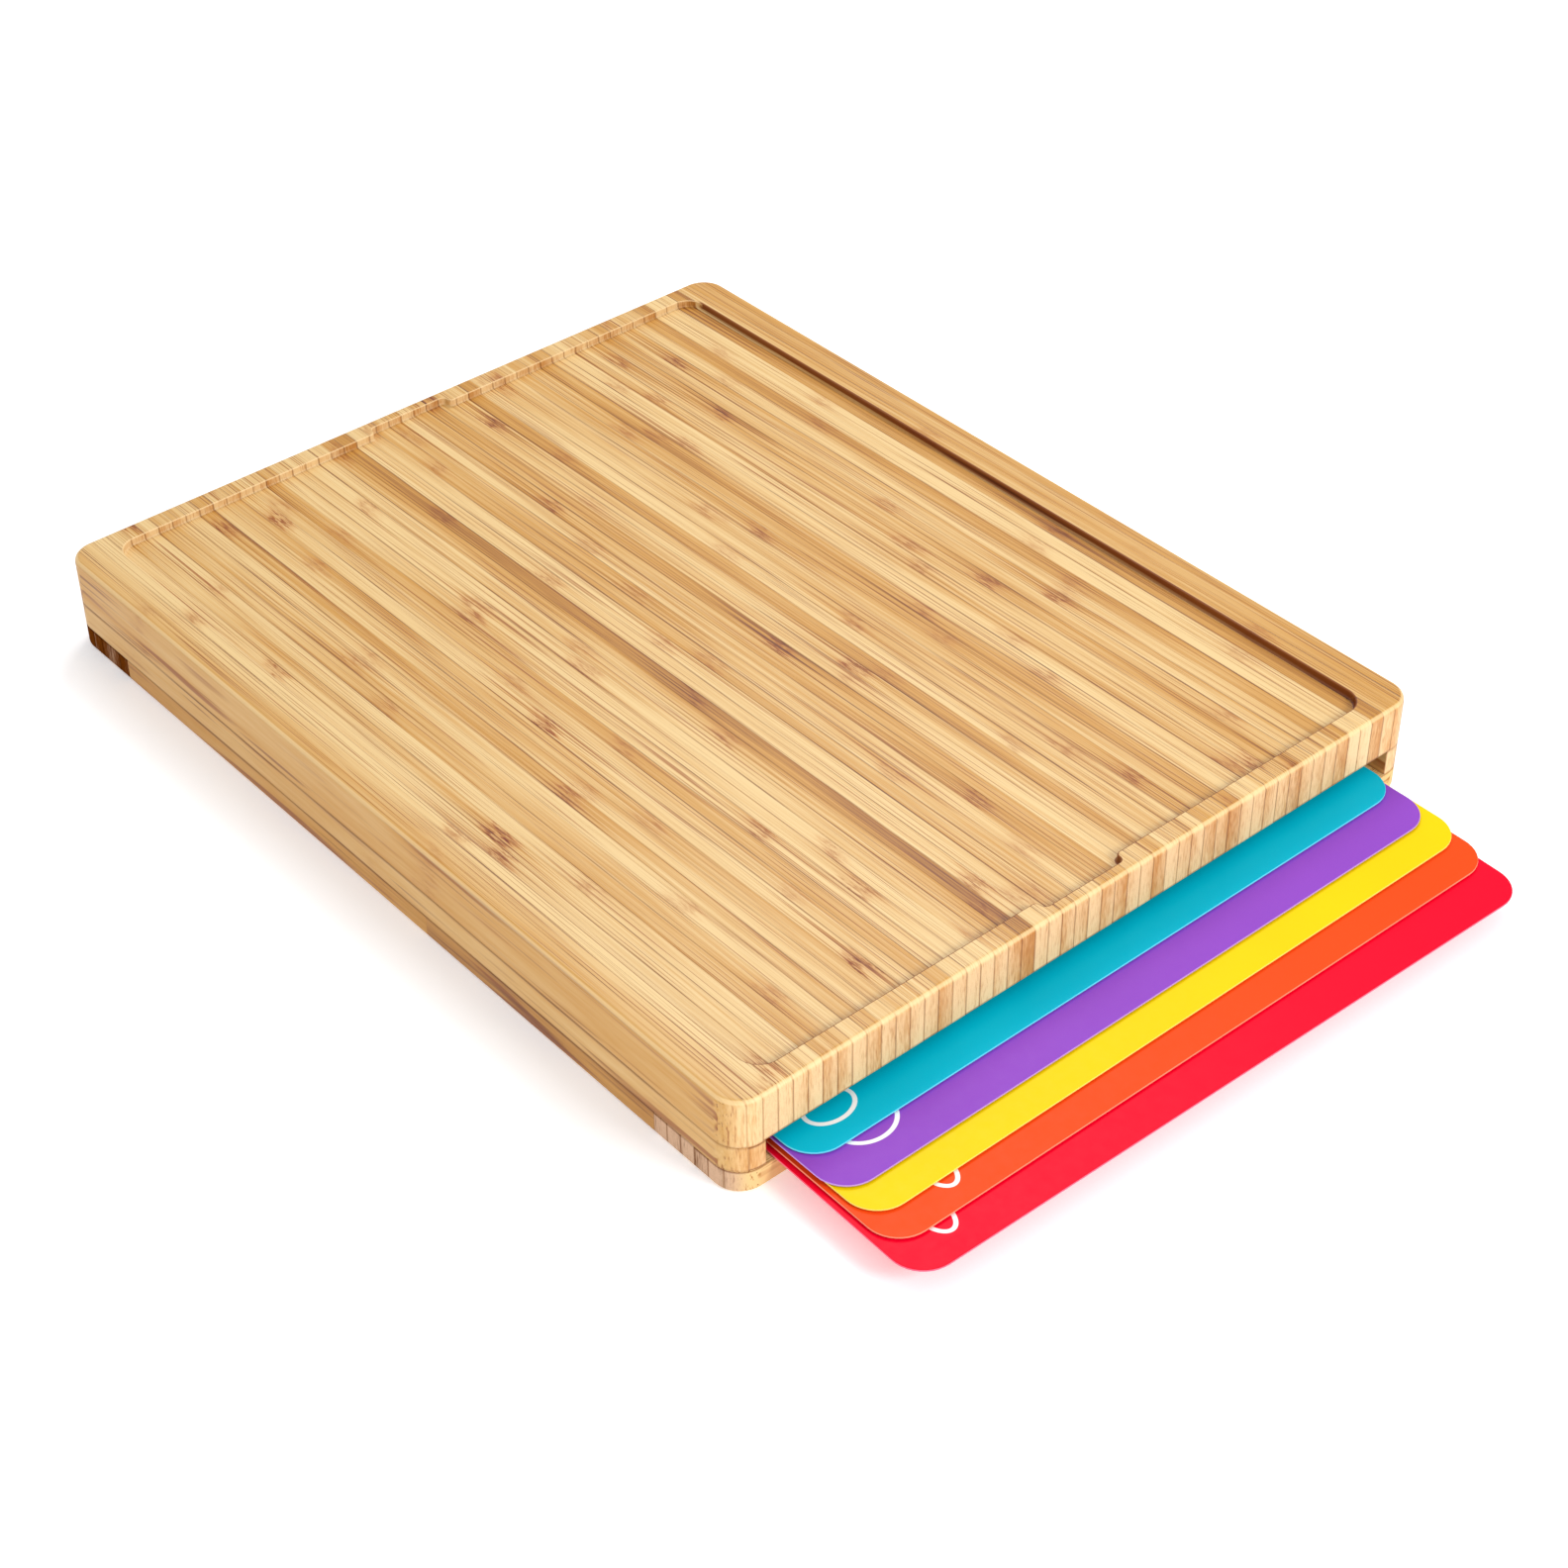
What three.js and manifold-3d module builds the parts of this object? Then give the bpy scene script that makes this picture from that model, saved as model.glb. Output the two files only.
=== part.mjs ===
// A bamboo cutting board that stores flexible cutting mats.
//
// The board is glued up in three layers. The top slab is a row of upright bamboo staves with a shallow
// recess for the cutting surface. Under it, two side rails and a stop rail leave a wide, low slot that is
// open at one end. The bottom layer closes the slot from below: a slat across each end, and boards and
// edge rails along the length between them. Five loose mats lie one above another in the slot and slide
// out of its open end.
//
// Units are millimetres. X runs along the staves towards the open end, Y across them, and Z up. The
// origin is the middle of the board's underside.

import * as THREE from "three";
import { mergeVertices } from "three/addons/utils/BufferGeometryUtils.js";
import Module from "manifold-3d";

const wasm = await Module();
wasm.setup();

// The board's outside
const BOARD_LENGTH = 380;
const BOARD_WIDTH = 304;
const CORNER_RADIUS = 10;
const ARC_SEGMENTS = 8;

// The three layers, from the underside up
const BOTTOM_THICKNESS = 9;
const SLOT_HEIGHT = 10;
const SLAB_THICKNESS = 19;
const SLOT_FLOOR_Z = BOTTOM_THICKNESS;
const SLAB_BOTTOM_Z = SLOT_FLOOR_Z + SLOT_HEIGHT;
const BOARD_HEIGHT = SLAB_BOTTOM_Z + SLAB_THICKNESS;

// The top slab: full staves across the middle, and one narrower stave along each edge
const STAVE_WIDTH = 11.75;
const FULL_STAVES = 24;

// The recess in the slab, with a finger notch in the middle of each end
const RECESS_DEPTH = 3;
const RECESS_END_BORDER = 9;
const RECESS_SIDE_BORDER = 16;
const RECESS_CORNER_RADIUS = 8;
const NOTCH_WIDTH = 35;
const NOTCH_DEPTH = 4;
const NOTCH_CENTRE_Y = -3;
const NOTCH_CORNER_RADIUS = 2;

// The middle layer around the slot
const SIDE_RAIL_WIDTH = 12;
const STOP_RAIL_WIDTH = 24;

// The bottom layer: end slats, edge rails that meet in a butt joint, and boards between the edge rails
const REAR_SLAT_WIDTH = 36;
const FRONT_SLAT_WIDTH = 39;
const EDGE_RAIL_JOINT_X = 32;
const BOTTOM_BOARDS = 5;

// The mats, from the lowest up: how far each one's front edge stands out of the slot's mouth, how far it
// lies off the middle line, and how far it is turned in the loose slot
const MAT_LENGTH = 356;
const MAT_WIDTH = 267;
const MAT_THICKNESS = 0.8;
const MAT_CORNER_RADIUS = 12;
const MAT_PITCH = 1.2;
const LOWEST_MAT_Z = SLOT_FLOOR_Z + 0.2;
const MATS = [
  { name: "red_mat", colour: 0xf5143c, standsOut: 68.4, offsetY: -5, turnDegrees: -1.3 },
  { name: "orange_mat", colour: 0xf45a28, standsOut: 53.4, offsetY: -2.3, turnDegrees: -0.5 },
  { name: "yellow_mat", colour: 0xffe60a, standsOut: 41.2, offsetY: -0.4, turnDegrees: -0.1 },
  { name: "purple_mat", colour: 0x8f48c8, standsOut: 28.7, offsetY: -1.5, turnDegrees: 0 },
  { name: "teal_mat", colour: 0x0ab4cf, standsOut: 13, offsetY: -0.8, turnDegrees: 0.1 },
];

// Finishes
const BAMBOO_TONES = [0xe6bd84, 0xd9a866, 0xedcb98, 0xcf9b57];
const BAMBOO_ROUGHNESS = 0.55;
const END_GRAIN_COLOUR = 0xb98a58;
const PLASTIC_ROUGHNESS = 0.35;

const FRONT_X = BOARD_LENGTH / 2;
const REAR_X = -FRONT_X;
const SIDE_Y = BOARD_WIDTH / 2;
const SLOT_SIDE_Y = SIDE_Y - SIDE_RAIL_WIDTH;
const BOTTOM_REAR_X = REAR_X + REAR_SLAT_WIDTH;
const BOTTOM_FRONT_X = FRONT_X - FRONT_SLAT_WIDTH;

// A closed three.js geometry as a solid that can be joined and cut
function solidOf(geometry) {
  const bare = geometry.clone();
  bare.deleteAttribute("normal");
  bare.deleteAttribute("uv");
  const merged = mergeVertices(bare);
  return new wasm.Manifold(
    new wasm.Mesh({
      numProp: 3,
      vertProperties: new Float32Array(merged.attributes.position.array),
      triVerts: new Uint32Array(merged.index.array),
    }),
  );
}

// A solid as a three.js geometry
function geometryOf(solid) {
  const mesh = solid.getMesh();
  const geometry = new THREE.BufferGeometry();
  geometry.setAttribute("position", new THREE.BufferAttribute(new Float32Array(mesh.vertProperties), 3));
  geometry.setIndex(new THREE.BufferAttribute(new Uint32Array(mesh.triVerts), 1));
  geometry.computeVertexNormals();
  return geometry;
}

// A closed outline with the given corners, each rounded to its own radius
function roundedOutline(corners) {
  const outline = new THREE.Shape();
  corners.forEach((corner, index) => {
    const before = corners[(index + corners.length - 1) % corners.length];
    const after = corners[(index + 1) % corners.length];
    const here = new THREE.Vector2(corner.x, corner.y);
    const inward = new THREE.Vector2(before.x, before.y).sub(here).normalize();
    const outward = new THREE.Vector2(after.x, after.y).sub(here).normalize();
    const start = here.clone().addScaledVector(inward, corner.radius);
    const end = here.clone().addScaledVector(outward, corner.radius);
    const centre = start.clone().addScaledVector(outward, corner.radius);
    const turnsLeft = inward.cross(outward) < 0;
    if (index === 0) outline.moveTo(start.x, start.y);
    else outline.lineTo(start.x, start.y);
    if (corner.radius > 0) {
      const fromAngle = Math.atan2(start.y - centre.y, start.x - centre.x);
      const toAngle = Math.atan2(end.y - centre.y, end.x - centre.x);
      outline.absarc(centre.x, centre.y, corner.radius, fromAngle, toAngle, !turnsLeft);
    }
  });
  outline.closePath();
  return outline;
}

// A rectangle about a centre, with all four corners rounded alike
function roundedRectangle(length, width, radius) {
  return roundedOutline([
    { x: length / 2, y: -width / 2, radius },
    { x: length / 2, y: width / 2, radius },
    { x: -length / 2, y: width / 2, radius },
    { x: -length / 2, y: -width / 2, radius },
  ]);
}

// The outline raised from lowZ to highZ
function prism(outline, lowZ, highZ) {
  const geometry = new THREE.ExtrudeGeometry(outline, {
    depth: highZ - lowZ,
    bevelEnabled: false,
    curveSegments: ARC_SEGMENTS,
  });
  return geometry.translate(0, 0, lowZ);
}

// A square-edged block between two opposite corners
function block(low, high) {
  const outline = roundedOutline([
    { x: high.x, y: low.y, radius: 0 },
    { x: high.x, y: high.y, radius: 0 },
    { x: low.x, y: high.y, radius: 0 },
    { x: low.x, y: low.y, radius: 0 },
  ]);
  return prism(outline, low.z, high.z);
}

// The recess seen from above: a rounded rectangle with a shallow notch outwards at each end
function recessOutline() {
  const endX = FRONT_X - RECESS_END_BORDER;
  const sideY = SIDE_Y - RECESS_SIDE_BORDER;
  const notchX = endX + NOTCH_DEPTH;
  const notchLowY = NOTCH_CENTRE_Y - NOTCH_WIDTH / 2;
  const notchHighY = NOTCH_CENTRE_Y + NOTCH_WIDTH / 2;
  const frontHalf = [
    { x: endX, y: -sideY, radius: RECESS_CORNER_RADIUS },
    { x: endX, y: notchLowY, radius: NOTCH_CORNER_RADIUS },
    { x: notchX, y: notchLowY, radius: NOTCH_CORNER_RADIUS },
    { x: notchX, y: notchHighY, radius: NOTCH_CORNER_RADIUS },
    { x: endX, y: notchHighY, radius: NOTCH_CORNER_RADIUS },
    { x: endX, y: sideY, radius: RECESS_CORNER_RADIUS },
  ];
  const rearHalf = frontHalf.map((corner) => ({ ...corner, x: -corner.x })).reverse();
  return roundedOutline([...frontHalf, ...rearHalf]);
}

function bambooMaterial(colour) {
  return new THREE.MeshStandardMaterial({ color: colour, roughness: BAMBOO_ROUGHNESS, metalness: 0 });
}

function mesh(name, geometry, material) {
  const made = new THREE.Mesh(geometry, material);
  made.name = name;
  return made;
}

// Each bamboo piece is its part of one layer, whose outside has the board's rounded corners
const boardOutline = roundedRectangle(BOARD_LENGTH, BOARD_WIDTH, CORNER_RADIUS);
const bottomLayer = solidOf(prism(boardOutline, 0, SLOT_FLOOR_Z));
const middleLayer = solidOf(prism(boardOutline, SLOT_FLOOR_Z, SLAB_BOTTOM_Z));
const recess = solidOf(prism(recessOutline(), BOARD_HEIGHT - RECESS_DEPTH, BOARD_HEIGHT + RECESS_DEPTH));
const slab = solidOf(prism(boardOutline, SLAB_BOTTOM_Z, BOARD_HEIGHT)).subtract(recess);

function bambooPiece(name, layer, x, y, colour) {
  const low = { x: x[0], y: y[0], z: 0 };
  const high = { x: x[1], y: y[1], z: BOARD_HEIGHT };
  const cut = layer.intersect(solidOf(block(low, high)));
  return mesh(name, geometryOf(cut), bambooMaterial(colour));
}

function addTopStaves(board) {
  const innerEdge = (FULL_STAVES * STAVE_WIDTH) / 2;
  const joints = [-SIDE_Y];
  for (let i = 0; i <= FULL_STAVES; i++) joints.push(-innerEdge + i * STAVE_WIDTH);
  joints.push(SIDE_Y);
  for (let i = 0; i + 1 < joints.length; i++) {
    const name = "top_stave_" + String(i + 1).padStart(2, "0");
    const tone = BAMBOO_TONES[i % BAMBOO_TONES.length];
    board.add(bambooPiece(name, slab, [REAR_X, FRONT_X], [joints[i], joints[i + 1]], tone));
  }
}

function addMiddleLayer(board) {
  const [tone] = BAMBOO_TONES;
  const stopFrontX = REAR_X + STOP_RAIL_WIDTH;
  board.add(bambooPiece("left_side_rail", middleLayer, [REAR_X, FRONT_X], [-SIDE_Y, -SLOT_SIDE_Y], tone));
  board.add(bambooPiece("right_side_rail", middleLayer, [REAR_X, FRONT_X], [SLOT_SIDE_Y, SIDE_Y], tone));
  board.add(bambooPiece("slot_stop_rail", middleLayer, [REAR_X, stopFrontX], [-SLOT_SIDE_Y, SLOT_SIDE_Y], tone));
}

function addBottomLayer(board) {
  const across = [-SIDE_Y, SIDE_Y];
  board.add(bambooPiece("bottom_rear_slat", bottomLayer, [REAR_X, BOTTOM_REAR_X], across, END_GRAIN_COLOUR));
  board.add(bambooPiece("bottom_front_slat", bottomLayer, [BOTTOM_FRONT_X, FRONT_X], across, END_GRAIN_COLOUR));

  const edges = { left: [-SIDE_Y, -SLOT_SIDE_Y], right: [SLOT_SIDE_Y, SIDE_Y] };
  const lengths = { rear: [BOTTOM_REAR_X, EDGE_RAIL_JOINT_X], front: [EDGE_RAIL_JOINT_X, BOTTOM_FRONT_X] };
  for (const [side, y] of Object.entries(edges)) {
    for (const [end, x] of Object.entries(lengths)) {
      const tone = BAMBOO_TONES[end === "rear" ? 1 : 2];
      board.add(bambooPiece("bottom_" + side + "_" + end + "_rail", bottomLayer, x, y, tone));
    }
  }

  const boardWidth = (2 * SLOT_SIDE_Y) / BOTTOM_BOARDS;
  for (let i = 0; i < BOTTOM_BOARDS; i++) {
    const lowY = -SLOT_SIDE_Y + i * boardWidth;
    const tone = BAMBOO_TONES[i % 2];
    const x = [BOTTOM_REAR_X, BOTTOM_FRONT_X];
    board.add(bambooPiece("bottom_board_" + (i + 1), bottomLayer, x, [lowY, lowY + boardWidth], tone));
  }
}

function addMats(mats) {
  const outline = roundedRectangle(MAT_LENGTH, MAT_WIDTH, MAT_CORNER_RADIUS);
  MATS.forEach(({ name, colour, standsOut, offsetY, turnDegrees }, index) => {
    const material = new THREE.MeshStandardMaterial({
      color: colour,
      roughness: PLASTIC_ROUGHNESS,
      metalness: 0,
    });
    const mat = mesh(name, prism(outline, 0, MAT_THICKNESS), material);
    const turn = THREE.MathUtils.degToRad(turnDegrees);
    const frontX = FRONT_X + standsOut;
    mat.position.set(frontX - MAT_LENGTH / 2, offsetY, LOWEST_MAT_Z + index * MAT_PITCH);
    mat.position.y -= (Math.sin(turn) * MAT_LENGTH) / 2;
    mat.rotation.z = turn;
    mats.add(mat);
  });
}

const cuttingBoard = new THREE.Group();
const board = new THREE.Group();
const mats = new THREE.Group();
addBottomLayer(board);
addMiddleLayer(board);
addTopStaves(board);
addMats(mats);
cuttingBoard.add(board, mats);

export default cuttingBoard;
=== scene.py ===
"""A laminated bamboo cutting board with five flexible plastic mats fanned out of its slot.

Every bamboo piece is cut from one of the board's three layers and then split into the strips that it is
glued up from, so that each strip has its own tone, fibres and nodes. Lengths are named in millimetres and
turned into metres where a mesh is made.
"""

import math
import random

import bmesh
import bpy
from mathutils import Matrix, Vector


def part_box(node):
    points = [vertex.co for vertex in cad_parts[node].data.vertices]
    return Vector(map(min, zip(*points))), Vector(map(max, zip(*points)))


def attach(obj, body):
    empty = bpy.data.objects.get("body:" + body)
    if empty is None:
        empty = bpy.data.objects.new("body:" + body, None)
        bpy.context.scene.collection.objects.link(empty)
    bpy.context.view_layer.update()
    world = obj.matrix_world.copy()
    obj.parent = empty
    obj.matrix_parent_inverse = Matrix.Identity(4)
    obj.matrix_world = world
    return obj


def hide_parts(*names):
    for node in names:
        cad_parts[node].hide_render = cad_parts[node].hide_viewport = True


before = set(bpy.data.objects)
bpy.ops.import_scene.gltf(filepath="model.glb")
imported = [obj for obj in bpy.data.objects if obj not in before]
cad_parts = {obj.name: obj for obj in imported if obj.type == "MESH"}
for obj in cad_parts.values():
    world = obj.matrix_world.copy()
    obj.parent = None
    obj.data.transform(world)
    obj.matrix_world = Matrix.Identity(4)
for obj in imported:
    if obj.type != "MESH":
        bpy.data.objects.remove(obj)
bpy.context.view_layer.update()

MM = 0.001
TINY = 1e-4

# The board, as in the CAD
BOARD_LENGTH = 380
BOARD_WIDTH = 304
CORNER_RADIUS = 10
SLOT_FLOOR_Z = 9
SLAB_BOTTOM_Z = 19
BOARD_HEIGHT = 38
FRONT_X = BOARD_LENGTH / 2
REAR_X = -FRONT_X
SIDE_Y = BOARD_WIDTH / 2

# The recess and its finger notches
RECESS_FLOOR_Z = 35
RECESS_END_X = 181
RECESS_SIDE_Y = 136
RECESS_CORNER_RADIUS = 8
NOTCH_WIDTH = 35
NOTCH_DEPTH = 4
NOTCH_CENTRE_Y = -3
NOTCH_CORNER_RADIUS = 2

# Edges as they are sanded
TOP_ROUND = 2.0
BOTTOM_ROUND = 1.5
LAYER_CHAMFER = 0.2
RIM_ROUND = 0.6
FLOOR_FILLET = 0.8
GLUE_CHAMFER = 0.1
CORNER_SEGMENTS = 10
ROUND_SEGMENTS = 5
FLAT_ANGLE = math.radians(0.2)

# Strips. A tone is 0 for pale bamboo, 1 for honey and above that for brown. Knots is how strong a strip's
# nodes and figure are, and is 1 unless the strip is cut from the quiet edge of the cane.
STAVES = 26
STRIPS_IN_STAVE = 2
STRIPS_IN_RAIL = 2
STRIPS_IN_SLAT = 6
STRIPS_IN_STOP = 4
BOTTOM_BOARDS = 5
STRIPS_IN_BOTTOM_BOARD = 10
MIDDLE_TONE = 0.44
TONE_SPREAD = 0.26
EDGE_KNOTS = 0.25

# Each strip is cut from a place of its own in the pattern of fibres, at most this many millimetres off
SHIFT_REACH = 500

# The slab's strips that are clearly darker or paler than the rest, counted from the left side
STRIP_TONES = {
    0: 0.62, 1: 0.40, 2: -0.05, 3: 0.12, 4: 0.40, 9: 0.62, 14: 0.72, 15: 0.30, 17: 0.20, 20: 1.10, 21: 0.28,
    22: 0.22, 27: 0.80, 28: 0.35, 30: 0.86, 31: 0.22, 36: 0.84, 37: 0.30, 41: 0.70, 45: 0.86, 46: 0.12,
    47: 0.18, 48: 0.98, 49: 0.60, 50: 0.70, 51: 0.78,
}

# How dark the recess's walls are painted: painted shade with a little cutter burnish in it. The rear wall,
# which faces the light, is left almost clean.
RECESS_WALL_SHADE = 1.0
REAR_WALL_SHADE = 0.1

# A wall takes in all that lies up to this far past the recess's outline, for its rounded and chamfered rim
WALL_REACH = 1

# The mats, from the lowest up, with their turns in degrees
MATS = ("red", "orange", "yellow", "purple", "teal")
MAT_LENGTH = 356
MAT_WIDTH = 267
MAT_THICKNESS = 0.8
MAT_CORNER_RADIUS = 12
MAT_EDGE_ROUND = 0.32
MAT_TURNS = {"red": -1.3, "orange": -0.5, "yellow": -0.1, "purple": 0.0, "teal": 0.1}

# The mats' plastic: how glossy it is, how much deeper its cloudier parts are and how much paler its edges are
# painted, as a painted highlight
MAT_SPECULAR = 0.07
MAT_DEEPER = 0.93
MAT_EDGE_HIGHLIGHT = 0.45
MAT_COLOURS = {
    "red": (248, 0, 44),
    "orange": (248, 78, 20),
    "yellow": (248, 214, 0),
    "purple": (148, 76, 200),
    "teal": (0, 190, 220),
}

# A plain oval is printed in white near the left front corner of each mat: its centre's x and y where the mat
# lies at rest, and half its length along x and y
MARK_LINE = 1.5
MARK_BLUR = 0.1
MARK_WHITE = (246, 246, 246)
MARKS = {
    "red": (237.5, -117, 9, 5),
    "orange": (225.5, -105, 9, 5),
    "yellow": (203, -108, 9, 8),
    "purple": (198.5, -109, 9.5, 11),
    "teal": (188.5, -114, 6.5, 9),
}

# The table, which reaches this many metres out, and the studio around it
TABLE_REACH = 30.0
TABLE_GLOW = 0.33
WORLD_COLOUR = (0.98, 0.99, 1.0, 1.0)
WORLD_STRENGTH = 0.72

# The camera, in degrees and millimetres. It looks at the target from the given distance.
CAMERA_AZIMUTH = 49.596
CAMERA_ELEVATION = 39.123
CAMERA_ROLL = -0.5227
CAMERA_DISTANCE = 1060.0
CAMERA_TARGET = (49.03, -11.77, 0.0)
CAMERA_LENS = 69.70
CAMERA_SENSOR = 36.0

draw = random.Random(52)


# ---------------------------------------------------------------------------------------------------
# Outlines and rings


def rounded_outline(corners):
    """A closed outline, anticlockwise, as (point, outward normal) pairs. Each corner is (x, y, radius)."""
    outline = []
    for index, (x, y, radius) in enumerate(corners):
        here = Vector((x, y))
        before = (Vector(corners[index - 1][:2]) - here).normalized()
        after = (Vector(corners[(index + 1) % len(corners)][:2]) - here).normalized()
        centre = here + (before + after) * radius
        turns_left = before.x * after.y - before.y * after.x < 0
        side = 1 if turns_left else -1
        start = -after * side
        quarter = math.pi / 2 * side
        for step in range(CORNER_SEGMENTS + 1):
            angle = quarter * step / CORNER_SEGMENTS
            normal = Vector((
                start.x * math.cos(angle) - start.y * math.sin(angle),
                start.x * math.sin(angle) + start.y * math.cos(angle),
            ))
            point = centre + normal * radius * side
            if not outline or (point - outline[-1][0]).length > TINY:
                outline.append((point, normal))
    return outline


def rectangle_outline(length, width, radius):
    x, y = length / 2, width / 2
    corners = [(x, -y, radius), (x, y, radius), (-x, y, radius), (-x, -y, radius)]
    return rounded_outline(corners)


def board_outline():
    return rectangle_outline(BOARD_LENGTH, BOARD_WIDTH, CORNER_RADIUS)


def recess_outline():
    notch_x = RECESS_END_X + NOTCH_DEPTH
    low = NOTCH_CENTRE_Y - NOTCH_WIDTH / 2
    high = NOTCH_CENTRE_Y + NOTCH_WIDTH / 2
    front = [
        (RECESS_END_X, -RECESS_SIDE_Y, RECESS_CORNER_RADIUS),
        (RECESS_END_X, low, NOTCH_CORNER_RADIUS),
        (notch_x, low, NOTCH_CORNER_RADIUS),
        (notch_x, high, NOTCH_CORNER_RADIUS),
        (RECESS_END_X, high, NOTCH_CORNER_RADIUS),
        (RECESS_END_X, RECESS_SIDE_Y, RECESS_CORNER_RADIUS),
    ]
    rear = [(-x, y, radius) for x, y, radius in reversed(front)]
    return rounded_outline(front + rear)


def arc(centre_offset, centre_z, radius, start, end):
    """(offset, z) levels on an arc between two angles in degrees. 0 points outwards and 90 points up."""
    levels = []
    for step in range(ROUND_SEGMENTS + 1):
        angle = math.radians(start + (end - start) * step / ROUND_SEGMENTS)
        levels.append((centre_offset + radius * math.cos(angle), centre_z + radius * math.sin(angle)))
    return levels


def lower_chamfer(z):
    return [(-LAYER_CHAMFER, z), (0, z + LAYER_CHAMFER)]


def upper_chamfer(z):
    return [(0, z - LAYER_CHAMFER), (-LAYER_CHAMFER, z)]


def add_ring(mesh, outline, offset, z):
    """The outline grown by offset, at height z, as vertices."""
    return [mesh.verts.new((*(point + normal * offset), z)) for point, normal in outline]


def bridge(mesh, first, second):
    """Quads between two rings. They face outwards when the second ring is the upper one."""
    count = len(first)
    for i in range(count):
        j = (i + 1) % count
        mesh.faces.new((first[i], first[j], second[j], second[i]))


def stack(mesh, outline, levels):
    """Rings at (offset, z) levels, joined by quads. Gives the first and last ring."""
    rings = [add_ring(mesh, outline, offset, z) for offset, z in levels]
    for first, second in zip(rings, rings[1:]):
        bridge(mesh, first, second)
    return rings[0], rings[-1]


def solid_between(outline, levels):
    """A closed solid with rings at the given levels, from its lower face to its upper one."""
    mesh = bmesh.new()
    lower, upper = stack(mesh, outline, levels)
    mesh.faces.new(list(reversed(lower)))
    mesh.faces.new(upper)
    return mesh


def fill_rim(mesh, outer, inner):
    """Fills a level rim between two rings with two faces that look up. They meet in the middle of the first
    corner, where both rings start, and of the corner opposite it."""
    bend = CORNER_SEGMENTS // 2
    outer_half = len(outer) // 2 + bend
    inner_half = len(inner) // 2 + bend
    mesh.faces.new(outer[bend:outer_half + 1] + inner[bend:inner_half + 1][::-1])
    outer_rest = outer[outer_half:] + outer[:bend + 1]
    inner_rest = inner[inner_half:] + inner[:bend + 1]
    mesh.faces.new(outer_rest + inner_rest[::-1])


# ---------------------------------------------------------------------------------------------------
# The board's three layers, each in one piece


def bottom_layer():
    rounding = arc(-BOTTOM_ROUND, BOTTOM_ROUND, BOTTOM_ROUND, -90, 0)
    return solid_between(board_outline(), rounding + upper_chamfer(SLOT_FLOOR_Z))


def middle_layer():
    return solid_between(board_outline(), lower_chamfer(SLOT_FLOOR_Z) + upper_chamfer(SLAB_BOTTOM_Z))


def slab_layer():
    """The top slab, with its rounded top edge and the recess."""
    mesh = bmesh.new()
    outside = lower_chamfer(SLAB_BOTTOM_Z)
    outside += arc(-TOP_ROUND, BOARD_HEIGHT - TOP_ROUND, TOP_ROUND, 0, 90)
    bottom, outer = stack(mesh, board_outline(), outside)
    mesh.faces.new(list(reversed(bottom)))

    inside = arc(RIM_ROUND, BOARD_HEIGHT - RIM_ROUND, RIM_ROUND, 90, 180)
    inside += arc(-FLOOR_FILLET, RECESS_FLOOR_Z + FLOOR_FILLET, FLOOR_FILLET, 0, -90)
    inner, floor = stack(mesh, recess_outline(), inside)
    mesh.faces.new(floor)

    fill_rim(mesh, outer, inner)
    mesh.normal_update()
    bmesh.ops.triangulate(mesh, faces=[face for face in mesh.faces if len(face.verts) > 4])
    return mesh


# ---------------------------------------------------------------------------------------------------
# Cutting layers into pieces and strips


def all_of(mesh):
    return mesh.verts[:] + mesh.edges[:] + mesh.faces[:]


def cut_off(mesh, axis, place, keep):
    """Cuts a closed mesh with a plane across an axis and closes it again. keep is 1 to keep what lies
    above the plane and -1 for below. The new edges get a fine chamfer."""
    normal = Vector((0, 0, 0))
    normal[axis] = -keep
    point = Vector((0, 0, 0))
    point[axis] = place + keep * GLUE_CHAMFER
    bmesh.ops.bisect_plane(mesh, geom=all_of(mesh), dist=TINY, plane_co=point, plane_no=normal)
    point[axis] = place
    bmesh.ops.bisect_plane(
        mesh, geom=all_of(mesh), dist=TINY, plane_co=point, plane_no=normal, clear_outer=True
    )
    mesh.normal_update()
    rim = [vertex for vertex in mesh.verts if abs(vertex.co[axis] - place) < 2 * TINY]
    moves = []
    for vertex in rim:
        away = vertex.normal.copy()
        away[axis] = 0
        moves.append(away * GLUE_CHAMFER)
    for vertex, move in zip(rim, moves):
        vertex.co -= move
    open_edges = [edge for edge in mesh.edges if edge.is_boundary]
    made = bmesh.ops.holes_fill(mesh, edges=open_edges, sides=0)
    for face in made["faces"]:
        for edge in face.edges:
            edge.smooth = False


def is_outside(axis, place):
    limit = FRONT_X if axis == 0 else SIDE_Y
    return abs(abs(place) - limit) < TINY


def cut_block(layer, x, y):
    """The part of a layer between two X and two Y values."""
    piece = layer.copy()
    for axis, (low, high) in enumerate((x, y)):
        if not is_outside(axis, low):
            cut_off(piece, axis, low, 1)
        if not is_outside(axis, high):
            cut_off(piece, axis, high, -1)
    return piece


class Strip:
    """One glued strip: where it lies across the piece, and how it looks."""

    def __init__(self, low, high, tone, knots):
        self.low = low
        self.high = high
        self.tone = tone
        self.knots = knots
        self.seed = draw.random()
        self.shift = [draw.uniform(-SHIFT_REACH, SHIFT_REACH) for _ in range(3)]
        self.flipped = draw.random() < 0.5

    def share_at(self, across):
        """How far across the strip a place is: 0 on the cane's inner side and 1 on its outer side."""
        share = (across - self.low) / (self.high - self.low)
        return 1 - share if self.flipped else share


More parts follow.
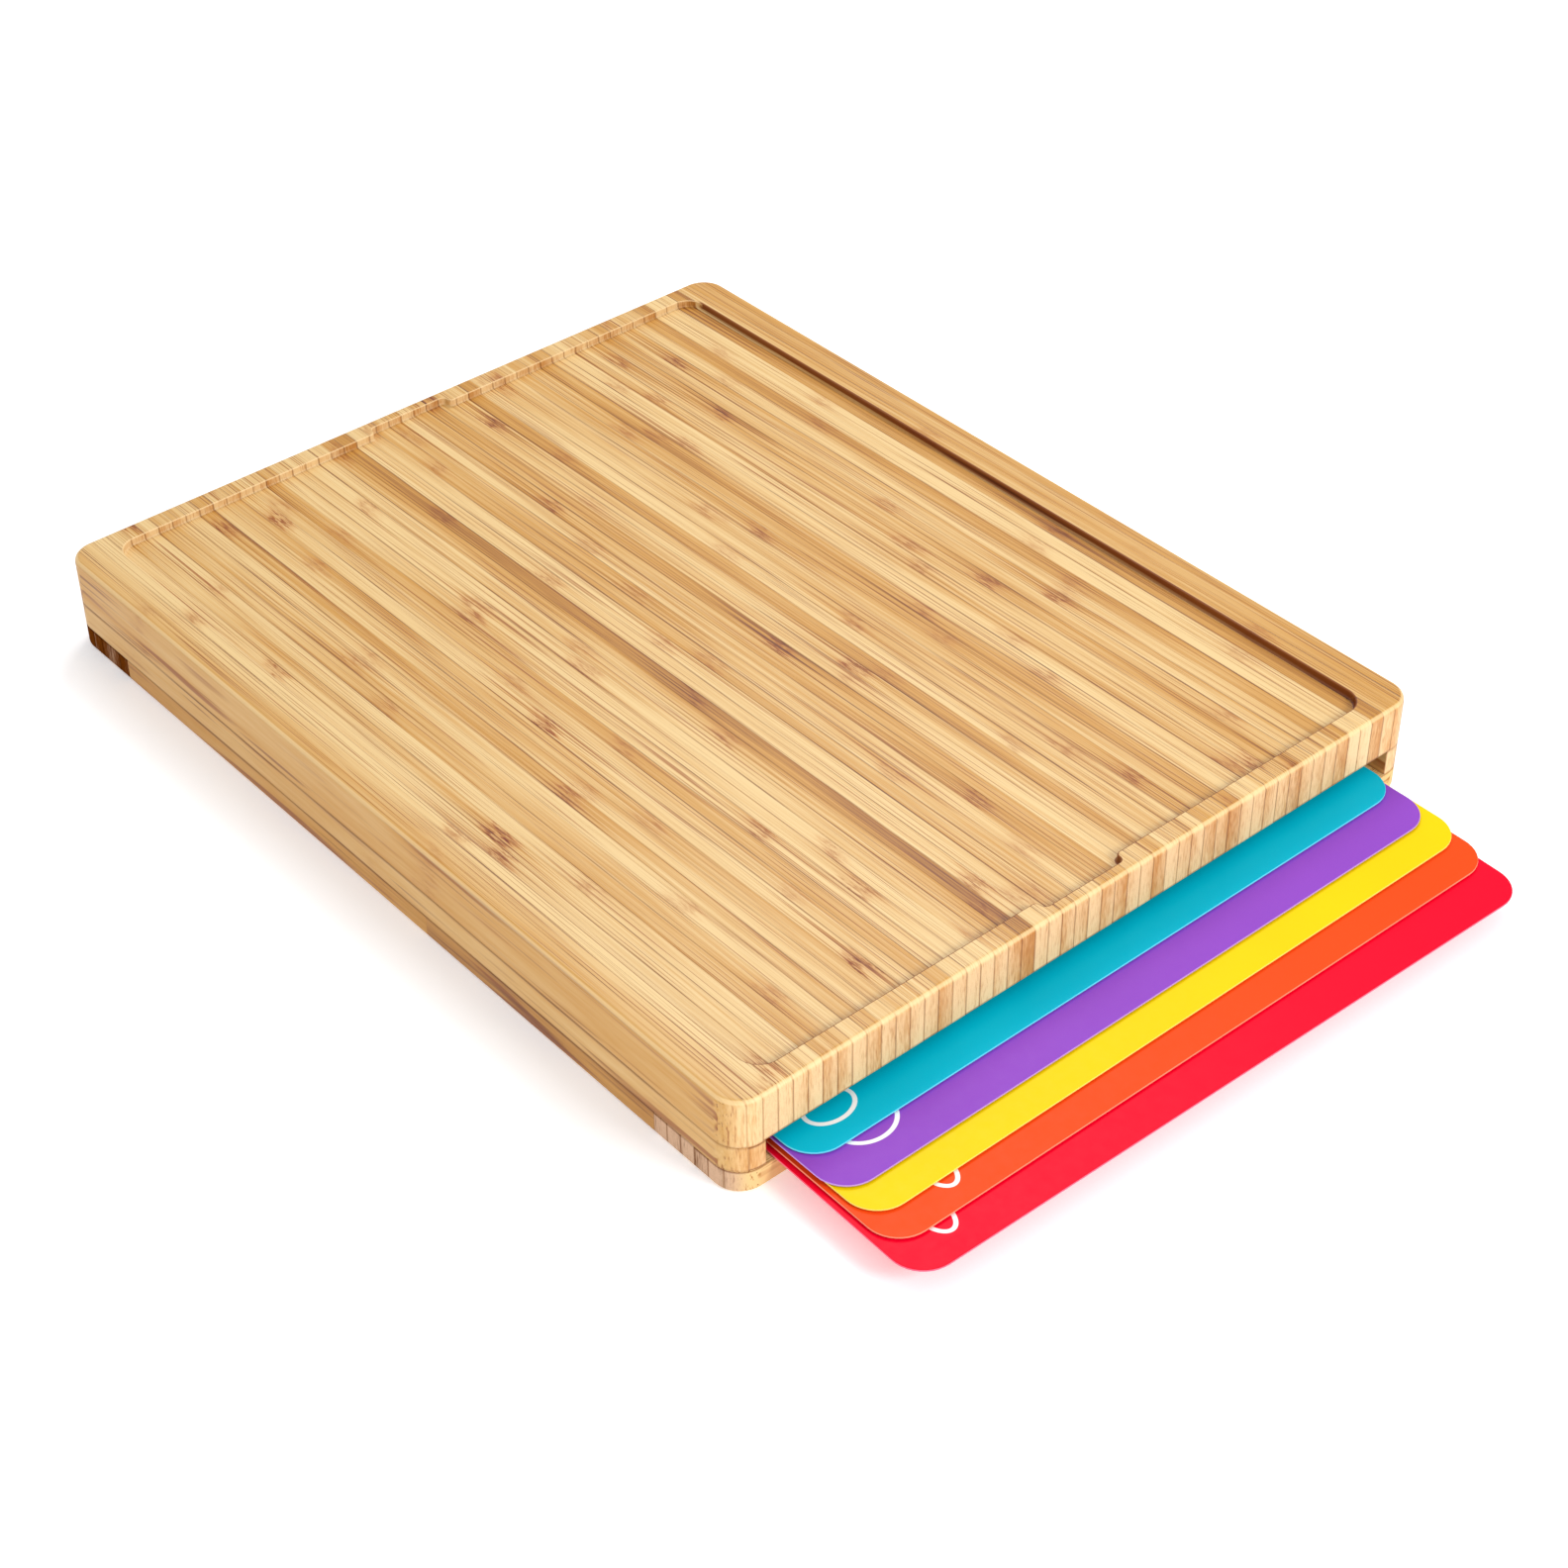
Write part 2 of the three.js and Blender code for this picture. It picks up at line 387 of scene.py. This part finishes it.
def wall_shade_at(place):
    """How much painted shade, with a little cutter burnish in it, darkens a place on the board. It lies on
    the recess's walls.
    """
    end_x = RECESS_END_X + NOTCH_DEPTH + WALL_REACH
    is_inside = abs(place.x) < end_x and abs(place.y) < RECESS_SIDE_Y + WALL_REACH
    is_wall = RECESS_FLOOR_Z + TINY < place.z < BOARD_HEIGHT - TINY
    if not (is_inside and is_wall):
        return 0.0
    is_rear = place.x < RECESS_CORNER_RADIUS - RECESS_END_X + TINY and place.y < RECESS_SIDE_Y - TINY
    return REAR_WALL_SHADE if is_rear else RECESS_WALL_SHADE


def label(mesh, strip, grain_axis, across_axis):
    """Writes the strip's look on its vertices: the place in its own fibres, in millimetres, its tone, place
    across the strip and seed, how strong its nodes are, and how much painted shade, with a little cutter
    burnish, lies on it."""
    grain = mesh.verts.layers.float_vector.new("grain")
    look = mesh.verts.layers.float_vector.new("strip")
    knots_and_wall_shade = mesh.verts.layers.float_vector.new("knots_and_wall_shade")
    for vertex in mesh.verts:
        along = vertex.co[grain_axis]
        across = vertex.co[across_axis]
        vertex[grain] = (along + strip.shift[0], across + strip.shift[1], vertex.co.z + strip.shift[2])
        vertex[look] = (strip.tone, strip.share_at(across), strip.seed)
        vertex[knots_and_wall_shade] = (strip.knots, wall_shade_at(vertex.co), 0)


def join_flat_faces(mesh):
    bmesh.ops.dissolve_limit(
        mesh, angle_limit=FLAT_ANGLE, use_dissolve_boundaries=False,
        verts=mesh.verts[:], edges=mesh.edges[:], delimit={"SHARP"},
    )


def make_piece(name, meshes, material, body, node):
    """One object from the given closed meshes, riding on a body in place of its CAD node."""
    joined = bmesh.new()
    for mesh in meshes:
        part = bpy.data.meshes.new("part")
        mesh.to_mesh(part)
        joined.from_mesh(part)
        bpy.data.meshes.remove(part)
        mesh.free()
    for face in joined.faces:
        face.smooth = True
    joined.transform(Matrix.Scale(MM, 4))
    data = bpy.data.meshes.new(name)
    joined.to_mesh(data)
    joined.free()
    data.materials.append(material)
    piece = bpy.data.objects.new(name, data)
    bpy.context.scene.collection.objects.link(piece)
    weighting = piece.modifiers.new("Weighted normals", "WEIGHTED_NORMAL")
    weighting.keep_sharp = True
    weighting.weight = 100
    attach(piece, body)
    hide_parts(node)


def bamboo_piece(node, layer, x, y, strips, grain_axis):
    """A piece of a layer, between two X and two Y values, split into strips across its grain."""
    across_axis = 1 - grain_axis
    piece_low, piece_high = (x, y)[across_axis]
    block = cut_block(layer, x, y)
    meshes = []
    for strip in strips:
        mesh = block.copy()
        if abs(strip.low - piece_low) > TINY:
            cut_off(mesh, across_axis, strip.low, 1)
        if abs(strip.high - piece_high) > TINY:
            cut_off(mesh, across_axis, strip.high, -1)
        join_flat_faces(mesh)
        label(mesh, strip, grain_axis, across_axis)
        meshes.append(mesh)
    block.free()
    make_piece(f"{node}_wood", meshes, BAMBOO[grain_axis], "board", node)


# ---------------------------------------------------------------------------------------------------
# Materials


def linear(rgb):
    """Screen colour, 0 to 255, as a shader colour."""
    made = []
    for value in rgb:
        share = value / 255
        made.append(share / 12.92 if share <= 0.04045 else ((share + 0.055) / 1.055) ** 2.4)
    return (*made, 1.0)


# The Mix node's sockets for colours, which share their names with its sockets for other kinds
MIX_SHARE = 0
MIX_FIRST_COLOUR = 6
MIX_SECOND_COLOUR = 7
MIX_COLOUR = 2


class Graph:
    """A material's nodes, made a line at a time."""

    def __init__(self, name):
        self.material = bpy.data.materials.new(name)
        self.material.use_nodes = True
        self.tree = self.material.node_tree
        self.tree.nodes.clear()
        self.shader = self.tree.nodes.new("ShaderNodeBsdfPrincipled")
        output = self.tree.nodes.new("ShaderNodeOutputMaterial")
        self.tree.links.new(self.shader.outputs["BSDF"], output.inputs["Surface"])

    def put(self, socket, value):
        if isinstance(value, bpy.types.NodeSocket):
            self.tree.links.new(value, socket)
        elif value is not None:
            socket.default_value = value

    def coordinates(self, kind):
        return self.tree.nodes.new("ShaderNodeTexCoord").outputs[kind]

    def attribute(self, name):
        node = self.tree.nodes.new("ShaderNodeAttribute")
        node.attribute_name = name
        return node.outputs["Vector"]

    def split(self, vector):
        node = self.tree.nodes.new("ShaderNodeSeparateXYZ")
        self.put(node.inputs[0], vector)
        return node.outputs

    def join(self, x, y, z):
        node = self.tree.nodes.new("ShaderNodeCombineXYZ")
        for socket, value in zip(node.inputs, (x, y, z)):
            self.put(socket, value)
        return node.outputs[0]

    def maths(self, operation, first, second=None):
        node = self.tree.nodes.new("ShaderNodeMath")
        node.operation = operation
        self.put(node.inputs[0], first)
        self.put(node.inputs[1], second)
        return node.outputs[0]

    def times(self, *values):
        product = values[0]
        for value in values[1:]:
            product = self.maths("MULTIPLY", product, value)
        return product

    def plus(self, *values):
        total = values[0]
        for value in values[1:]:
            total = self.maths("ADD", total, value)
        return total

    def minus(self, first, second):
        return self.maths("SUBTRACT", first, second)

    def magnitude(self, value):
        return self.maths("ABSOLUTE", value)

    def length(self, x, y):
        return self.maths("SQRT", self.plus(self.times(x, x), self.times(y, y)))

    def span(self, share, low, high):
        """low where share is 0 and high where it is 1."""
        return self.plus(low, self.times(share, high - low))

    def ease(self, value, start, end, low=0.0, high=1.0):
        """low up to start, then smoothly to high at end."""
        node = self.tree.nodes.new("ShaderNodeMapRange")
        node.interpolation_type = "SMOOTHSTEP"
        self.put(node.inputs["Value"], value)
        node.inputs["From Min"].default_value = start
        node.inputs["From Max"].default_value = end
        node.inputs["To Min"].default_value = low
        node.inputs["To Max"].default_value = high
        return node.outputs["Result"]

    def noise(self, vector, scale, detail, roughness=0.5):
        node = self.tree.nodes.new("ShaderNodeTexNoise")
        self.put(node.inputs["Vector"], vector)
        node.inputs["Scale"].default_value = scale
        node.inputs["Detail"].default_value = detail
        node.inputs["Roughness"].default_value = roughness
        return node.outputs["Fac"]

    def cells(self, vector):
        node = self.tree.nodes.new("ShaderNodeTexVoronoi")
        self.put(node.inputs["Vector"], vector)
        node.inputs["Scale"].default_value = 1.0
        return node.outputs["Distance"]

    def blend(self, share, first, second, mode="MIX"):
        node = self.tree.nodes.new("ShaderNodeMix")
        node.data_type = "RGBA"
        node.blend_type = mode
        node.clamp_factor = True
        self.put(node.inputs[MIX_SHARE], share)
        self.put(node.inputs[MIX_FIRST_COLOUR], first)
        self.put(node.inputs[MIX_SECOND_COLOUR], second)
        return node.outputs[MIX_COLOUR]

    def bump(self, height, strength, distance):
        node = self.tree.nodes.new("ShaderNodeBump")
        node.inputs["Strength"].default_value = strength
        node.inputs["Distance"].default_value = distance
        self.put(node.inputs["Height"], height)
        self.put(self.shader.inputs["Normal"], node.outputs["Normal"])


PALE_BAMBOO = linear((232, 198, 138))
HONEY_BAMBOO = linear((201, 144, 60))
BROWN_BAMBOO = linear((146, 86, 22))
# A painted highlight on the rounded top edge
EDGE_HIGHLIGHT_BAMBOO = linear((255, 221, 164))

# Stains are multiplied into the colour below them
FIBRE_STAIN = linear((184, 134, 78))
HAIR_STAIN = linear((160, 112, 62))
NODE_STAIN = linear((220, 168, 92))
NODE_CORE_STAIN = linear((160, 100, 48))
GLUE_STAIN = linear((146, 100, 50))
# Painted shade on the recess's walls, with a little cutter burnish in it
WALL_SHADE_STAIN = linear((152, 100, 46))
JOINT_STAIN = linear((150, 104, 62))

# Nodes of the cane: from one to the next along a strip, how ragged they are, and how far each part reaches
NODE_PITCH_LEAST = 130.0
NODE_PITCH_MOST = 240.0
NODE_WOBBLE = 22.0
NODE_CORE_REACH = 7.0
NODE_HALO_REACH = 12.0
NODE_TAIL_REACH = 55.0
WEAKEST_NODE = 0.16

# Two more shares are made from a strip's seed by these factors
PITCH_FACTOR = 7.31
STRENGTH_FACTOR = 13.7

FIBRE_BUNDLES_PER_MM = 1.6
JOINT_REACH = 1.1


class BambooGraph(Graph):
    """Oiled bamboo, made a layer of colour at a time. Noise runs from 0 to 1 around 0.5, and the ease
    calls pick the part of it that shows."""

    def __init__(self, name, grain_axis):
        super().__init__(name)
        self.along, self.across, self.up = self.split(self.attribute("grain"))
        self.tone, self.place, self.seed = self.split(self.attribute("strip"))
        self.knots, self.routing, _ = self.split(self.attribute("knots_and_wall_shade"))
        self.height = self.times(self.split(self.coordinates("Object"))[2], 1 / MM)
        normal = self.split(self.coordinates("Normal"))
        self.faces_up = normal[2]
        self.faces_along = self.magnitude(normal[grain_axis])
        self.faces_across = self.magnitude(normal[1 - grain_axis])
        self.fine = self.fibres(stretch=0.03, fineness=4.2, detail=3.0, roughness=0.65)
        self.bands = self.fibres(stretch=0.008, fineness=0.95)
        self.streaks = self.fibres(stretch=0.011, fineness=2.1, detail=1.0)
        self.colour = PALE_BAMBOO

    def fibres(self, stretch, fineness, detail=2.0, roughness=0.5, layered=0.12):
        """Noise drawn out along the grain. layered is how fast it changes with height, against across."""
        vector = self.join(
            self.times(self.along, stretch),
            self.times(self.across, fineness),
            self.times(self.up, fineness * layered),
        )
        return self.noise(vector, 1.0, detail, roughness)

    def signed(self, value, size):
        """The value around 0 instead of 0.5, times a size."""
        return self.times(self.minus(value, 0.5), size)

    def another_seed(self, factor):
        return self.maths("FRACT", self.times(self.seed, factor))

    def stain(self, share, tint):
        self.colour = self.blend(share, self.colour, tint, "MULTIPLY")

    def find_nodes(self):
        """The nodes of the cane, one or two in each strip: a speckled core in a paler halo, with darker
        fibres before and after it."""
        pitch = self.span(self.another_seed(PITCH_FACTOR), NODE_PITCH_LEAST, NODE_PITCH_MOST)
        turn = self.maths("FRACT", self.maths("DIVIDE", self.along, pitch))
        ragged = self.fibres(stretch=0.05, fineness=0.55, roughness=0.6, layered=0.5)
        from_node = self.times(self.minus(turn, 0.5), pitch)
        from_node = self.magnitude(self.plus(from_node, self.signed(ragged, NODE_WOBBLE)))
        chance = self.another_seed(STRENGTH_FACTOR)
        strength = self.span(self.times(chance, chance), WEAKEST_NODE, 1.0)
        self.node_strength = self.times(strength, self.knots)
        speckle = self.fibres(stretch=0.13, fineness=1.0, detail=3.0, roughness=0.75, layered=0.6)
        speckle = self.ease(speckle, 0.40, 0.66)
        self.halo = self.times(self.ease(from_node, NODE_HALO_REACH, 1.0), self.span(speckle, 0.25, 1.0))
        core = self.ease(from_node, NODE_CORE_REACH, 0.5)
        self.core = self.times(core, speckle, self.node_strength)
        tail = self.ease(from_node, NODE_TAIL_REACH, 4.0)
        self.tail = self.times(tail, self.ease(self.streaks, 0.4, 0.66), self.node_strength)

    def paint_ground(self):
        """The outer side of the cane, where fibres lie closer, is deeper in colour than the inner side."""
        drift = self.fibres(stretch=0.009, fineness=0.1, detail=1.0)
        figure = self.plus(self.signed(self.bands, 1.0), self.signed(drift, 0.7))
        figure = self.plus(figure, self.signed(self.fine, 0.95))
        figure = self.times(figure, self.span(self.knots, 0.4, 1.0))
        depth = self.plus(self.tone, self.signed(self.place, 0.22), figure, self.times(self.tail, 0.9))
        self.colour = self.blend(self.ease(depth, 0.0, 1.0), PALE_BAMBOO, HONEY_BAMBOO)
        self.colour = self.blend(self.ease(depth, 0.8, 1.6), self.colour, BROWN_BAMBOO)

    def paint_fibres(self):
        """Thin darker lines: some broader ones, and hairs that show most in the darker bands."""
        self.stain(self.times(self.ease(self.streaks, 0.58, 0.70), 0.85), FIBRE_STAIN)
        hairs = self.fibres(stretch=0.013, fineness=5.0, detail=1.0)
        showing = self.ease(self.bands, 0.35, 0.6, 0.15, 0.75)
        self.stain(self.times(self.ease(hairs, 0.62, 0.72), showing), HAIR_STAIN)

    def paint_nodes(self):
        halo_strength = self.plus(self.times(self.knots, 0.3), self.node_strength)
        self.stain(self.times(self.halo, halo_strength), NODE_STAIN)
        self.stain(self.core, NODE_CORE_STAIN)

    def paint_glue_lines(self):
        """Lines along both edges of each strip, which are strong in some stretches and faint in others."""
        edge = self.maths("MINIMUM", self.place, self.minus(1.0, self.place))
        shows_edge = self.ease(self.faces_across, 0.7, 0.3)
        self.glue = self.times(self.ease(edge, 0.075, 0.02), shows_edge)
        strength = self.ease(self.fibres(stretch=0.012, fineness=0.3), 0.42, 0.66, 0.05, 1.0)
        self.stain(self.times(self.glue, strength), GLUE_STAIN)

    def paint_ends(self, pale_end, dark_end, end_share):
        """Cut ends: bundles of fibres as dots, in layers that follow the strip."""
        dots = self.cells(self.join(
            0.0, self.times(self.across, FIBRE_BUNDLES_PER_MM), self.times(self.up, FIBRE_BUNDLES_PER_MM)
        ))
        dots = self.ease(dots, 0.42, 0.15)
        layers = self.plus(self.tone, self.signed(self.place, 0.5))
        layers = self.plus(layers, self.signed(self.streaks, 1.1), self.signed(self.bands, 0.7))
        ground = self.blend(self.ease(layers, 0.1, 1.3), linear(pale_end), linear(dark_end))
        ground = self.blend(self.times(dots, 0.16), ground, linear(dark_end))
        ground = self.blend(self.times(self.glue, 0.7), ground, GLUE_STAIN, "MULTIPLY")
        is_end = self.ease(self.faces_along, 0.3, 0.95)
        self.colour = self.blend(self.times(is_end, end_share), self.colour, ground)

    def paint_edge_highlight_and_wall_shade(self):
        """The rounded top edge gets a painted highlight that makes it paler, and the walls of the recess get
        painted shade with a little cutter burnish in it.
        """
        # Painted highlight: the leaning part of the rounded top edge is blended towards a pale colour
        leans = self.times(self.ease(self.faces_up, 0.98, 0.85), self.ease(self.faces_up, 0.25, 0.6))
        round_z = BOARD_HEIGHT - TOP_ROUND
        rounding = self.times(leans, self.ease(self.height, round_z - 0.5, round_z))
        self.colour = self.blend(self.times(rounding, 0.55), self.colour, EDGE_HIGHLIGHT_BAMBOO)
        # Painted shade on the recess's walls, with a little cutter burnish in it
        self.stain(self.routing, WALL_SHADE_STAIN)

    def paint_layer_joints(self):
        """The glue joints between the layers, which are darker in some places than in others."""
        is_side = self.ease(self.magnitude(self.faces_up), 0.8, 0.4)
        strength = self.ease(self.fibres(stretch=0.012, fineness=0.02), 0.35, 0.65, 0.3, 0.9)
        for level in (SLOT_FLOOR_Z, SLAB_BOTTOM_Z):
            from_joint = self.magnitude(self.minus(self.height, level))
            self.stain(self.times(self.ease(from_joint, JOINT_REACH, 0.1), is_side, strength), JOINT_STAIN)

    def finish_surface(self, specular):
        self.put(self.shader.inputs["Base Color"], self.colour)
        roughness = self.plus(self.span(self.fine, 0.34, 0.54), self.times(self.core, 0.1))
        self.put(self.shader.inputs["Roughness"], roughness)
        self.shader.inputs["Specular IOR Level"].default_value = specular
        relief = self.plus(self.times(self.fine, 0.8), self.times(self.streaks, 0.5))
        relief = self.minus(relief, self.times(self.core, 0.4))
        self.bump(relief, 0.35, 0.00012)


def bamboo_material(name, grain_axis, pale_end, dark_end, end_share, specular):
    """grain_axis is the axis that the fibres run along. Where they are cut across, the colour goes from
    pale_end to dark_end by end_share."""
    graph = BambooGraph(name, grain_axis)
    graph.find_nodes()
    graph.paint_ground()
    graph.paint_fibres()
    graph.paint_nodes()
    graph.paint_glue_lines()
    graph.paint_ends(pale_end, dark_end, end_share)
    graph.paint_edge_highlight_and_wall_shade()
    graph.paint_layer_joints()
    graph.finish_surface(specular)
    return graph.material


def oval_line(graph, place, mark):
    """1 on an oval line and 0 off it. How far a place is from the line is near enough in millimetres."""
    x, y, _ = graph.split(place)
    centre_x, centre_y, half_x, half_y = mark
    right = graph.times(graph.minus(x, centre_x * MM), 1 / MM / half_x)
    ahead = graph.times(graph.minus(y, centre_y * MM), 1 / MM / half_y)
    reach = graph.length(right, ahead)
    steepness = graph.length(graph.times(right, 1 / half_x), graph.times(ahead, 1 / half_y))
    from_line = graph.times(reach, graph.minus(reach, 1.0))
    from_line = graph.magnitude(graph.maths("DIVIDE", from_line, steepness))
    return graph.ease(from_line, MARK_LINE / 2 + MARK_BLUR, MARK_LINE / 2 - MARK_BLUR)


def plastic_material(name, rgb, mark):
    """Satin polypropylene sheet with a very fine pebbled surface, its edges painted paler as a painted
    highlight, and with an oval line printed on top."""
    graph = Graph(name)
    place = graph.coordinates("Object")
    faces_up = graph.split(graph.coordinates("Normal"))[2]
    broad = graph.noise(place, 18.0, 2.0)
    scuff = graph.noise(place, 240.0, 3.0, 0.6)
    pebble = graph.noise(place, 2400.0, 2.0, 0.6)
    deep = linear([value * MAT_DEEPER for value in rgb])
    pale = linear([value + (255 - value) * MAT_EDGE_HIGHLIGHT for value in rgb])
    colour = graph.blend(broad, linear(rgb), deep)
    # Painted highlight: where the sheet leans away from level, at its edges, it is blended paler
    colour = graph.blend(graph.ease(graph.magnitude(faces_up), 0.97, 0.5), colour, pale)
    line = graph.times(oval_line(graph, place, mark), graph.ease(faces_up, 0.8, 0.95))
    colour = graph.blend(line, colour, linear(MARK_WHITE))
    graph.put(graph.shader.inputs["Base Color"], colour)
    graph.put(graph.shader.inputs["Roughness"], graph.span(scuff, 0.30, 0.46))
    graph.shader.inputs["Specular IOR Level"].default_value = MAT_SPECULAR
    graph.bump(pebble, 0.25, 0.00004)
    return graph.material


def table_material():
    graph = Graph("Pale table")
    cloudy = graph.noise(graph.coordinates("Object"), 6.0, 3.0)
    colour = graph.blend(cloudy, linear((242, 242, 244)), linear((238, 238, 240)))
    graph.put(graph.shader.inputs["Base Color"], colour)
    graph.shader.inputs["Roughness"].default_value = 0.6
    graph.shader.inputs["Emission Color"].default_value = (1, 1, 1, 1)
    graph.shader.inputs["Emission Strength"].default_value = TABLE_GLOW
    return graph.material


# By grain axis: fibres along the board and across it. The slats across it are dry where they are cut.
BAMBOO = (
    bamboo_material(
        "Bamboo along the board", grain_axis=0, pale_end=(248, 214, 160), dark_end=(206, 142, 70),
        end_share=0.75, specular=0.42,
    ),
    bamboo_material(
        "Bamboo across the board", grain_axis=1, pale_end=(212, 174, 144), dark_end=(100, 48, 8),
        end_share=0.95, specular=0.0,
    ),
)


# ---------------------------------------------------------------------------------------------------
# The board


def plan_of(node):
    """A CAD node's X and Y limits, in millimetres."""
    low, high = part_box(node)
    x = (round(low.x / MM, 3), round(high.x / MM, 3))
    y = (round(low.y / MM, 3), round(high.y / MM, 3))
    return x, y


def any_tone():
    return MIDDLE_TONE + draw.uniform(-TONE_SPREAD, TONE_SPREAD)


def tone_between(low, high):
    return lambda: draw.uniform(low, high)


def strips_between(low, high, count, next_tone, knots):
    width = (high - low) / count
    return [Strip(low + i * width, low + (i + 1) * width, next_tone(), knots) for i in range(count)]


def make_stave(slab, number):
    node = f"top_stave_{number:02d}"
    _, y = plan_of(node)
    knots = EDGE_KNOTS if number in (1, STAVES) else 1.0
    strips = strips_between(*y, STRIPS_IN_STAVE, any_tone, knots)
    for place, strip in enumerate(strips):
        strip.tone = STRIP_TONES.get((number - 1) * STRIPS_IN_STAVE + place, strip.tone)
    bamboo_piece(node, slab, (REAR_X, FRONT_X), y, strips, 0)


def make_plank(node, layer, grain_axis, count, next_tone):
    """A rail, slat or board of the middle or bottom layer."""
    x, y = plan_of(node)
    across = (x, y)[1 - grain_axis]
    strips = strips_between(*across, count, next_tone, EDGE_KNOTS)
    bamboo_piece(node, layer, x, y, strips, grain_axis)


def make_slab():
    slab = slab_layer()
    for number in range(1, STAVES + 1):
        make_stave(slab, number)
    slab.free()


def make_middle():
    middle = middle_layer()
    make_plank("left_side_rail", middle, 0, STRIPS_IN_RAIL, tone_between(0.65, 0.8))
    make_plank("right_side_rail", middle, 0, STRIPS_IN_RAIL, tone_between(0.45, 0.6))
    make_plank("slot_stop_rail", middle, 1, STRIPS_IN_STOP, tone_between(0.3, 0.6))
    middle.free()


def make_bottom():
    bottom = bottom_layer()
    make_plank("bottom_rear_slat", bottom, 1, STRIPS_IN_SLAT, tone_between(0.95, 1.4))
    make_plank("bottom_front_slat", bottom, 1, STRIPS_IN_SLAT, tone_between(0.05, 0.6))
    for side in ("left", "right"):
        for end in ("rear", "front"):
            make_plank(f"bottom_{side}_{end}_rail", bottom, 0, STRIPS_IN_RAIL, tone_between(0.85, 1.05))
    for number in range(1, BOTTOM_BOARDS + 1):
        make_plank(f"bottom_board_{number}", bottom, 0, STRIPS_IN_BOTTOM_BOARD, any_tone)
    bottom.free()


# ---------------------------------------------------------------------------------------------------
# The mats


def make_mat(colour):
    node = f"{colour}_mat"
    low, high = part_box(node)
    centre = (low + high) / 2 / MM
    round_z = MAT_THICKNESS / 2 - MAT_EDGE_ROUND
    lower_edge = arc(-MAT_EDGE_ROUND, -round_z, MAT_EDGE_ROUND, -90, 0)
    upper_edge = arc(-MAT_EDGE_ROUND, round_z, MAT_EDGE_ROUND, 0, 90)
    outline = rectangle_outline(MAT_LENGTH, MAT_WIDTH, MAT_CORNER_RADIUS)
    mesh = solid_between(outline, lower_edge + upper_edge)
    turn = Matrix.Rotation(math.radians(MAT_TURNS[colour]), 4, "Z")
    mesh.transform(Matrix.Translation(centre) @ turn)
    material = plastic_material(f"{colour.capitalize()} plastic", MAT_COLOURS[colour], MARKS[colour])
    make_piece(f"{node}_sheet", [mesh], material, node, node)


# ---------------------------------------------------------------------------------------------------
# Floor, light and camera. Lights are placed in metres.


def make_floor():
    reach = TABLE_REACH
    corners = [(-reach, -reach, 0), (reach, -reach, 0), (reach, reach, 0), (-reach, reach, 0)]
    data = bpy.data.meshes.new("table")
    data.from_pydata(corners, [], [(0, 1, 2, 3)])
    data.materials.append(table_material())
    floor = bpy.data.objects.new("table_surface", data)
    bpy.context.scene.collection.objects.link(floor)


def make_world():
    world = bpy.data.worlds.new("Studio")
    world.use_nodes = True
    background = world.node_tree.nodes["Background"]
    background.inputs["Color"].default_value = WORLD_COLOUR
    background.inputs["Strength"].default_value = WORLD_STRENGTH
    bpy.context.scene.world = world


def area_light(name, place, target, size, power, colour=(1, 1, 1)):
    """A square lamp that faces its target."""
    data = bpy.data.lights.new(name, "AREA")
    data.shape = "SQUARE"
    data.size = size
    data.energy = power
    data.color = colour
    light = bpy.data.objects.new(name, data)
    light.location = place
    light.rotation_mode = "QUATERNION"
    light.rotation_quaternion = (Vector(target) - Vector(place)).to_track_quat("-Z", "Y")
    bpy.context.scene.collection.objects.link(light)


def make_lights():
    """A key lamp beyond the mats, one behind the board that gives the top its sheen, and a faint cool one
    low down by the near left corner."""
    area_light("Key", place=(1.15, 0.14, 0.72), target=(0.05, 0.0, 0.0), size=0.35, power=7.6)
    area_light("Sheen", place=(-0.45, 0.50, 0.98), target=(0.15, -0.1, 0.0), size=0.4, power=4.6)
    area_light(
        "Corner", place=(0.33, -0.45, 0.11), target=(0.18, -0.15, 0.02), size=0.15, power=0.17,
        colour=(0.84, 0.92, 1.0),
    )


def make_camera():
    azimuth = math.radians(CAMERA_AZIMUTH)
    elevation = math.radians(CAMERA_ELEVATION)
    roll = math.radians(CAMERA_ROLL)
    back = Vector((
        math.sin(azimuth) * math.cos(elevation),
        -math.cos(azimuth) * math.cos(elevation),
        math.sin(elevation),
    ))
    right = (-back).cross(Vector((0, 0, 1))).normalized()
    down = (-back).cross(right)
    rolled_right = right * math.cos(roll) - down * math.sin(roll)
    rolled_down = right * math.sin(roll) + down * math.cos(roll)
    data = bpy.data.cameras.new("Camera")
    data.lens = CAMERA_LENS
    data.sensor_width = CAMERA_SENSOR
    data.clip_start = 0.05
    data.clip_end = 50
    camera = bpy.data.objects.new("Camera", data)
    camera.rotation_mode = "QUATERNION"
    camera.rotation_quaternion = Matrix((rolled_right, -rolled_down, back)).transposed().to_quaternion()
    camera.location = (Vector(CAMERA_TARGET) + back * CAMERA_DISTANCE) * MM
    bpy.context.scene.collection.objects.link(camera)
    bpy.context.scene.camera = camera


make_slab()
make_middle()
make_bottom()
for mat_colour in MATS:
    make_mat(mat_colour)
make_floor()
make_world()
make_lights()
make_camera()
bpy.context.scene.view_settings.view_transform = "Standard"
